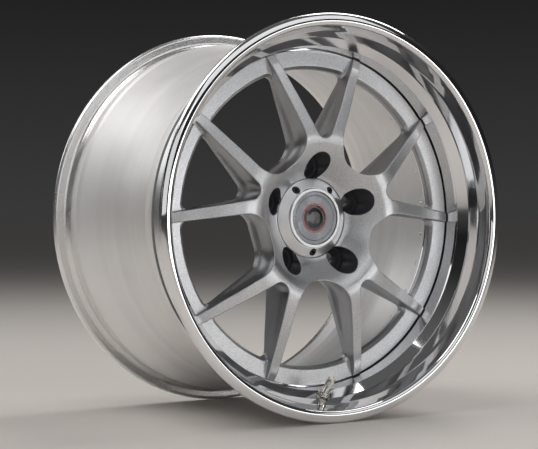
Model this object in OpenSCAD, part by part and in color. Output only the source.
// Three-piece forged racing wheel, 18 x 11 in, with five V pairs of spokes.
// The wheel stands upright: its axis is Y, the street side faces -Y and +Z is up.
// Every piece is drawn looking at the street side, with x to the right, y up and z
// towards the viewer, so z is the distance outboard of the wheel's middle plane.

/* [Rim] */
// Diameter of the bead seats
seat_d = 462; // [460:0.5:464]
// Width between the flanges
rim_w = 279.4; // [275:0.1:285]
// Height of the flanges above the bead seats
flange_h = 17.3; // [17:0.1:17.6]
// Thickness of the flanges
flange_t = 9.05; // [8.8:0.05:9.4]
// Depth from the outer flange down to the face of the centre's ring
lip_depth = 65; // [63:0.5:67]
// Wall thickness of both rim halves
wall = 6; // [5.6:0.1:6.4]
// Radius of the well of the inner half
well_r = 210.5; // [209.5:0.5:212]

/* [Forged centre] */
// Outer radius of the centre's ring
ring_r = 208.4; // [208:0.1:208.8]
// Inner radius of the centre's ring, at the windows
ring_inner_r = 185; // [184:0.5:186]
// Thickness of the ring
ring_t = 12; // [11.5:0.1:12.5]
// Depth of the mounting face inboard of the ring's face
pad_drop = 33.75; // [33:0.25:35]
// Width of a spoke at the ring
arm_w = 11.8; // [11:0.1:13]
// Width of a spoke at its root
arm_root_w = 18.2; // [17:0.1:19]
// Radius of the flat root of the wide windows
hub_r = 73; // [72:0.5:74]

/* [Wheel fitting] */
// Diameter of the circle of the wheel bolts
lug_pcd = 130; // [129:0.5:131]
// Radius of the deep pockets for the wheel bolts
lug_pocket_r = 16.7; // [16:0.1:17]
// Radius of the ball seats in the pockets
lug_seat_r = 14; // [13.5:0.5:14.5]
// Radius of the wheel bolt holes
lug_hole_r = 7.5; // [7.25:0.05:7.75]
// Radius of the bore that centres the wheel on its hub
bore_r = 35.8; // [35:0.05:36]

/* [Assembly bolts] */
// Number of bolts that hold the rim halves to the centre
bolt_count = 30; // [20:10:30]
// Radius of the circle of these bolts
bolt_circle_r = 198.5; // [198:0.5:199]

/* [Hub cap] */
// Outer radius of the cap ring
cap_r = 49.3; // [49:0.1:49.4]
// Radius of the circle of the cap screws
cap_screw_circle_r = 42.6; // [42:0.1:43]
// Radius of the badge
badge_r = 32.9; // [32:0.1:33]

/* [Tyre valve] */
// Place of the valve around the wheel, in degrees from the right-hand side
valve_angle = 269; // [260:1:280]
// Lean of the valve from the radial direction towards the street side
valve_lean = 40; // [38:1:42]

/* [Hidden] */
$fn = 96;

seat_r = seat_d / 2;
flange_r = seat_r + flange_h;
front = rim_w / 2 + flange_t;          // street-side plane of the outer flange
flange_back = rim_w / 2;               // tyre side of a flange
face = front - lip_depth;              // face of the centre's ring
joint = face - ring_t;                 // back of the ring, where the rim halves bolt on
seam = joint - wall;                   // plane where the two rim halves meet
joint_back = seam - wall;              // back of the stack of flanges
pad = face - pad_drop;                 // mounting face of the hub
joint_inner_r = 188.6;                 // inner edge of both bolting flanges
joint_r = 216;                         // tyre side of both halves at the seam
lip_bore_r = 210;                      // lip's wall around the centre's ring
lug_r = lug_pcd / 2;
lug_floor = pad + 15.75;               // floor of the pockets for the wheel bolts
seat_centre = pad + 20;                // centre of the ball seats
vee = 360 / 5;                         // angle from one V pair to the next
arm_half_angle = vee / 4;              // a spoke's end, measured from the axis of its V
vee_angles = [for (i = [0:4]) 90 + i * vee];
gap_angles = [for (a = vee_angles) a + vee / 2];
crest = [[98, 28], [88, 26], [78, 20], [65, 8], [57, 0.75], [52, -2.75]];
shelf = face - 7.75;                   // seat of the cap in the hub
shelf_r = 50;
cap_bore_r = bore_r + 1.2;              // bore for the cap's spigot, outboard of the hub's
spigot_r = cap_bore_r - 0.1;
o_ring_r = cap_bore_r - 1.2;           // middle of the cap's O-ring
bolt_hole_r = 4.05;
bolt_r = 4;
bolt_washer_t = 1.6;
bolt_reach = 9.4;                      // thread in the centre's ring
valve_seat_r = 218.5;                  // point on the lip's step where the valve stands
valve_seat_z = front - 37.6;
stem_r = 5.2;
stem_top = 28;
thread_r = 3.85;
core_r = 2.55;
pin_r = 0.6;

// ---- outlines ----

function unit(v) = v / norm(v);

// The points that round the corner b, between its neighbours a and c, with radius r
function corner(a, b, c, r) =
    r == 0 ? [b] :
    let (u = unit(a - b), v = unit(c - b), half = acos(u * v) / 2,
         m = b + unit(u + v) * r / sin(half),
         p = b + u * r / tan(half) - m, q = b + v * r / tan(half) - m,
         start = atan2(p.y, p.x),
         turn = (atan2(q.y, q.x) - start + 540) % 360 - 180,
         n = ceil(abs(turn) / 15))
    [for (i = [0:n]) m + r * [cos(start + turn * i / n), sin(start + turn * i / n)]];

// A closed outline from [x, y, rounding radius] corners
function rounded(p) = let (n = len(p))
    [for (i = [0:n - 1]) each corner([p[(i + n - 1) % n].x, p[(i + n - 1) % n].y],
        [p[i].x, p[i].y], [p[(i + 1) % n].x, p[(i + 1) % n].y], p[i][2])];

// Turns the street-side view into the wheel's own frame
module wheel() { rotate([90, 0, 0]) children(); }

module turned(profile) { rotate_extrude() polygon(rounded(profile)); }

module ring_of(angles, r) {
    for (a = angles) rotate([0, 0, a]) translate([r, 0, 0]) children();
}

// ---- rim halves ----

module outer_lip() {
    profile = [
        [flange_r, flange_back, 2.5], [flange_r, front - 3.5, 4], [243, front, 13],
        [234.2, front, 6.5], [231, front - 9.5, 0], [227.8, front - 20, 30],
        [222.4, front - 31, 0], [221.5, front - 33, 0], [212.2, front - 44, 0],
        [lip_bore_r, front - 62, 0], [lip_bore_r, joint, 0],
        [joint_inner_r, joint, 0], [joint_inner_r, seam, 0], [joint_r - 3, seam, 0],
        [joint_r, seam + 3, 0], [joint_r, front - 57, 4], [218.8, front - 49.5, 4],
        [229.3, front - 33, 2], [seat_r + 1.2, front - 31.5, 2], [seat_r, front - 27, 0],
        [seat_r, flange_back, 9]];
    color("gainsboro") wheel() difference() {
        turned(profile);
        ring_of(bolt_angles(), bolt_circle_r) translate([0, 0, seam - 1])
            cylinder(r = bolt_hole_r + 0.15, h = wall + 2);
        valve_place() {
            translate([0, 0, -12]) cylinder(r = 5.75, h = 16);
            translate([0, 0, -1.6]) cylinder(r = 9.6, h = 8);
            translate([0, 0, -13]) cylinder(r = 9.2, h = 7.8);
        }
    }
}

module inner_barrel() {
    back = -flange_back;
    profile = [
        [joint_r, seam - 3, 0], [joint_r - 3, seam, 0], [joint_inner_r, seam, 0],
        [joint_inner_r, joint_back, 1], [208, joint_back, 0.6], [208, 51, 3],
        [well_r - wall, 41, 3], [well_r - wall, -19, 200], [seat_r - wall - 1.5, -103, 8],
        [seat_r - wall, back + 1, 8], [239.5, -front, 4], [flange_r, -front, 4],
        [flange_r, back, 4.5], [seat_r, back, 7], [seat_r, back + 24, 0],
        [seat_r + 1.2, back + 28, 2], [seat_r - 1.2, back + 34, 12],
        [well_r, -19, 200], [well_r, 36, 8], [joint_r, 57, 4]];
    color("silver") wheel() difference() {
        turned(profile);
        ring_of(bolt_angles(), bolt_circle_r) translate([0, 0, joint_back - 1])
            cylinder(r = bolt_hole_r + 0.15, h = wall + 2);
    }
}

module rim_seal() {
    color("dimgray") wheel() rotate_extrude() polygon([
        [joint_r - 2.9, seam], [joint_r + 0.1, seam + 2.95],
        [joint_r + 1.6, seam], [joint_r + 0.1, seam - 2.95]]);
}

// ---- forged centre ----

// Points on one edge of a spoke, at its root and at the ring, in the frame whose y axis
// is the axis of its V; side is -1 for the edge inside the V, 1 for the outside, and
// inset moves the edge into the spoke
function arm_edge(side, inset) =
    let (root = [0, lug_r], end = ring_r * [sin(arm_half_angle), cos(arm_half_angle)],
         u = unit(end - root), n = [u.y, -u.x] * side)
    [root + n * (arm_root_w / 2 - inset), end + n * (arm_w / 2 - inset)];

// Where the line through two points crosses the circle of radius r, going outwards
function on_circle(line, r) =
    let (u = unit(line[1] - line[0]), b = line[0] * u)
    line[0] + u * (sqrt(b * b - line[0] * line[0] + r * r) - b);

function turn(p, a) = [p.x * cos(a) - p.y * sin(a), p.x * sin(a) + p.y * cos(a)];
function flip(p) = [-p.x, p.y];

// Points along the ring's inner edge between the corner p and its mirror image
function ring_edge(p, r) = let (a = atan2(p.x, p.y))
    [for (i = [1:7]) let (b = a * (1 - i / 4)) [r * sin(b), r * cos(b), 0]];

// Window inside a V: a triangle with a rounded tip
function narrow_window(r, round_r, inset) =
    let (line = arm_edge(-1, inset), p = on_circle(line, r),
         tip = line[0].y - line[0].x * (line[1].y - line[0].y) / (line[1].x - line[0].x))
    rounded(concat([[p.x, p.y, round_r]], ring_edge(p, r),
        [[-p.x, p.y, round_r], [0, tip, 11.6]]));

// Window between two V pairs, with a flat root
function wide_window(r, round_r, inset) =
    let (line = [for (p = arm_edge(1, inset)) turn(flip(p), -vee / 2)],
         p = on_circle(line, r), u = unit(line[1] - line[0]),
         root = line[0] + u * (hub_r - line[0].y) / u.y)
    rounded(concat([[p.x, p.y, round_r]], ring_edge(p, r),
        [[-p.x, p.y, round_r], [-root.x, root.y, 20], [root.x, root.y, 20]]));

module windows(r, round_r, inset) {
    for (a = vee_angles) rotate([0, 0, a - 90]) translate([0, 0, pad - 5])
        linear_extrude(75) polygon(narrow_window(r, round_r, inset));
    for (a = gap_angles) rotate([0, 0, a - 90]) translate([0, 0, pad - 5])
        linear_extrude(75) polygon(wide_window(r, round_r, inset));
}

// Hub and spokes: a turned forging, deep at the hub and thin at the ring
module spokes() {
    profile = concat(
        [[bore_r, pad, 0], [75, pad, 0], [97, pad + 8.5, 20], [150, pad + 16, 0],
         [ring_inner_r, joint, 0], [ring_r, joint, 0], [ring_r, face + 2.6, 0],
         [190, face + 9.5, 20], [145, face + 20.5, 60], [110, face + 27.6, 30]],
        [for (p = crest) [p.x, face + p.y, 0]],
        [[shelf_r, face - 4, 0], [shelf_r, shelf, 0], [cap_bore_r, shelf, 0],
         [cap_bore_r, pad + 17, 0], [bore_r, pad + 16, 0]]);
    difference() {
        turned(profile);
        windows(ring_r + 30, 0, 0);
    }
}

// The ring; its windows reach a little into the spokes, so that their sides don't meet
module ring_band() {
    profile = [[165, joint, 0], [ring_r, joint, 0], [ring_r, face, 0.8],
               [ring_inner_r + 4, face, 0], [ring_inner_r - 1, face - 6, 0],
               [165, face - 6, 0]];
    difference() {
        turned(profile);
        windows(ring_inner_r, 9, 0.3);
    }
}

module wheel_centre() {
    color("lightslategray") wheel() difference() {
        union() {
            spokes();
            ring_band();
        }
        ring_of(vee_angles, lug_r) {
            translate([0, 0, lug_floor]) cylinder(r = lug_pocket_r, h = 60);
            translate([0, 0, seat_centre]) sphere(r = lug_seat_r);
            translate([0, 0, pad - 1]) cylinder(r = lug_hole_r, h = 20);
        }
        ring_of(bolt_angles(), bolt_circle_r) translate([0, 0, joint - 1])
            cylinder(r = bolt_hole_r, h = bolt_reach + 1.4);
        ring_of(cap_screw_angles(), cap_screw_circle_r) translate([0, 0, shelf - 14])
            cylinder(r = 2.55, h = 15);
    }
}

// ---- assembly bolts, from the brake side into the centre's ring ----

function bolt_angles() = [for (i = [0.5:bolt_count]) i * 360 / bolt_count];

module assembly_bolts() {
    head = joint_back - bolt_washer_t;
    color("darkgray") wheel() ring_of(bolt_angles(), bolt_circle_r) {
        translate([0, 0, head - 1]) cylinder(r = bolt_r, h = joint + bolt_reach - head + 1);
        translate([0, 0, head - 1.8]) cylinder(r = 7.2, h = 1.8);
        for (turn = [0, 30]) rotate([0, 0, turn])
            translate([0, 0, head - 8]) cylinder(r = 5.75, h = 7, $fn = 6);
    }
}

module assembly_washers() {
    color("gray") wheel() ring_of(bolt_angles(), bolt_circle_r)
        translate([0, 0, joint_back - bolt_washer_t]) difference() {
            cylinder(r = 8, h = bolt_washer_t);
            translate([0, 0, -1]) cylinder(r = bolt_r + 0.3, h = bolt_washer_t + 2);
        }
}

// ---- hub cap ----

// The screws stand at three of the five places between the wheel bolts
function cap_screw_angles() = [54, 126, 270];

module cap_ring() {
    profile = [
        [28, shelf - 8, 0], [spigot_r, shelf - 8, 1], [spigot_r, shelf - 5.2, 0],
        [o_ring_r - 1.2, shelf - 5.2, 0], [o_ring_r - 1.2, shelf - 2.4, 0],
        [spigot_r, shelf - 2.4, 0], [spigot_r, shelf, 0], [cap_r, shelf, 0],
        [cap_r, shelf + 3.4, 0.8],
        [38.2, face + 2.2, 1], [37.4, face + 2.2, 0], [37.4, face + 4, 0],
        [36.6, face + 5, 0.5], [badge_r + 0.4, face + 5, 0.5], [badge_r + 0.1, face + 2, 0],
        [0, face + 2, 0], [0, face - 0.5, 0], [28, face - 0.5, 3]];
    color("whitesmoke") wheel() difference() {
        turned(profile);
        ring_of(cap_screw_angles(), cap_screw_circle_r) {
            translate([0, 0, shelf + 2.4]) cylinder(r = 4.8, h = 12);
            translate([0, 0, shelf - 1]) cylinder(r = 2.75, h = 12);
        }
    }
}

module cap_o_ring() {
    color("black") wheel() translate([0, 0, shelf - 3.8])
        rotate_extrude() translate([o_ring_r, 0]) circle(r = 1.18, $fn = 32);
}

module cap_screws() {
    color("black") wheel() ring_of(cap_screw_angles(), cap_screw_circle_r)
        difference() {
            union() {
                translate([0, 0, shelf - 12]) cylinder(r = 2.5, h = 15);
                translate([0, 0, shelf + 2.4]) cylinder(r = 4.25, h = 4.8);
            }
            translate([0, 0, shelf + 4.4]) cylinder(r = 2.3, h = 5, $fn = 6);
        }
}

module badge_disc() {
    floor_z = face + 2;
    profile = [[0, floor_z, 0], [badge_r, floor_z, 0], [badge_r, floor_z + 1.4, 0.4],
               [17.8, floor_z + 1.4, 0], [17.8, floor_z + 0.9, 0], [15.8, floor_z + 0.9, 0],
               [15.8, floor_z + 1.8, 0], [13.2, floor_z + 2.6, 1], [12, floor_z + 1.6, 0],
               [0, floor_z + 1.6, 0]];
    color("slategray") wheel() turned(profile);
}

module badge_trim() {
    color("firebrick") wheel() translate([0, 0, face + 2.9]) difference() {
        cylinder(r = 17.75, h = 0.8);
        translate([0, 0, -1]) cylinder(r = 15.85, h = 3);
    }
}

// ---- tyre valve: its own z axis points out of the lip's step ----

module valve_place() {
    rotate([0, 0, valve_angle]) translate([valve_seat_r, 0, valve_seat_z])
        rotate([0, valve_lean - 90, 0]) children();
}

module valve_turned(profile) { wheel() valve_place() turned(profile); }

module valve_stem() {
    profile = [
        [1.4, -10.4, 0], [7.9, -10.4, 0.6], [7.9, -7.8, 0.4], [stem_r, -7.8, 0],
        [stem_r, 6.4, 0.5], [4.3, 7.6, 0], [4.3, 16.4, 0], [thread_r, 16.8, 0],
        [thread_r, stem_top, 0.4], [core_r + 0.08, stem_top, 0], [core_r + 0.08, 16, 0],
        [1.9, 14, 0], [1.9, 0, 0], [1.4, -1, 0]];
    color("silver") valve_turned(profile);
}

module valve_grommet() {
    profile = [[stem_r + 0.05, -7.75, 0], [8.1, -7.75, 0.6], [8.1, -5.22, 0],
               [5.7, -5.22, 0], [5.7, -1.8, 0], [stem_r + 0.05, -1.8, 0]];
    color("black") valve_turned(profile);
}

module valve_washer() {
    profile = [[stem_r + 0.15, -1.58, 0], [8.6, -1.58, 0], [8.6, -0.38, 0.3],
               [stem_r + 0.15, -0.38, 0]];
    color("silver") valve_turned(profile);
}

module valve_nut() {
    color("gainsboro") wheel() valve_place() translate([0, 0, -0.36]) difference() {
        intersection() {
            cylinder(r = 7.5, h = 5, $fn = 6);
            turned([[0, 0, 0], [6.9, 0, 0], [7.6, 0.6, 0], [7.6, 4.2, 0], [6.6, 5, 0], [0, 5, 0]]);
        }
        translate([0, 0, -1]) cylinder(r = stem_r + 0.05, h = 8);
    }
}

module core_body() {
    profile = [[pin_r + 0.06, 17.2, 0], [2.1, 17.2, 0], [2.1, 19.4, 0], [1.85, 19.4, 0],
               [1.85, 20.6, 0], [core_r, 20.6, 0], [core_r, 26.2, 0.2],
               [pin_r + 0.06, 26.2, 0], [pin_r + 0.06, 25.2, 0], [1.45, 25.2, 0],
               [1.45, 18.2, 0], [pin_r + 0.06, 18.2, 0]];
    color("goldenrod") valve_turned(profile);
}

module core_gasket() {
    profile = [[1.9, 19.45, 0], [2.5, 19.45, 0.2], [2.5, 20.55, 0], [1.9, 20.55, 0]];
    color("firebrick") valve_turned(profile);
}

// The pin's collar rides inside the core's body, on top of the spring
module core_pin() {
    profile = [[0, 15.4, 0], [pin_r, 15.4, 0], [pin_r, 23.6, 0], [1.36, 23.6, 0],
               [1.36, 24.1, 0], [pin_r, 24.1, 0], [pin_r, 27.6, 0.2], [0, 27.6, 0]];
    color("goldenrod") valve_turned(profile);
}

module core_cup() {
    profile = [[pin_r + 0.02, 15.9, 0], [1.75, 15.9, 0.2], [1.75, 17.15, 0],
               [pin_r + 0.02, 17.15, 0]];
    color("black") valve_turned(profile);
}

// Five coils of wire, drawn as closed rings
module core_spring() {
    color("silver") wheel() valve_place() for (i = [0:4]) translate([0, 0, 18.4 + i * 1.24])
        rotate_extrude() translate([1.12, 0]) circle(r = 0.17, $fn = 16);
}

module valve_cap() {
    color("gainsboro") wheel() valve_place() difference() {
        turned([[0, 17.2, 0], [4.7, 17.2, 0.3], [4.7, 19, 0], [4.9, 19.3, 0],
                [4.9, 28.6, 0], [4.2, 30.4, 0.6], [0, 30.4, 0]]);
        translate([0, 0, 16]) cylinder(r = thread_r + 0.06, h = 13);
        for (i = [0:11]) rotate([0, 0, i * 30]) translate([5.35, 0, 19.8])
            cylinder(r = 0.8, h = 8.4);
    }
}

module cap_seal() {
    color("black") wheel() valve_place() translate([0, 0, 28.1]) difference() {
        cylinder(r = 3.8, h = 0.85);
        translate([0, 0, -1]) cylinder(r = 1, h = 3);
    }
}

outer_lip();
inner_barrel();
rim_seal();
wheel_centre();
assembly_bolts();
assembly_washers();
cap_ring();
cap_o_ring();
cap_screws();
badge_disc();
badge_trim();
valve_stem();
valve_grommet();
valve_washer();
valve_nut();
core_body();
core_gasket();
core_pin();
core_cup();
core_spring();
valve_cap();
cap_seal();
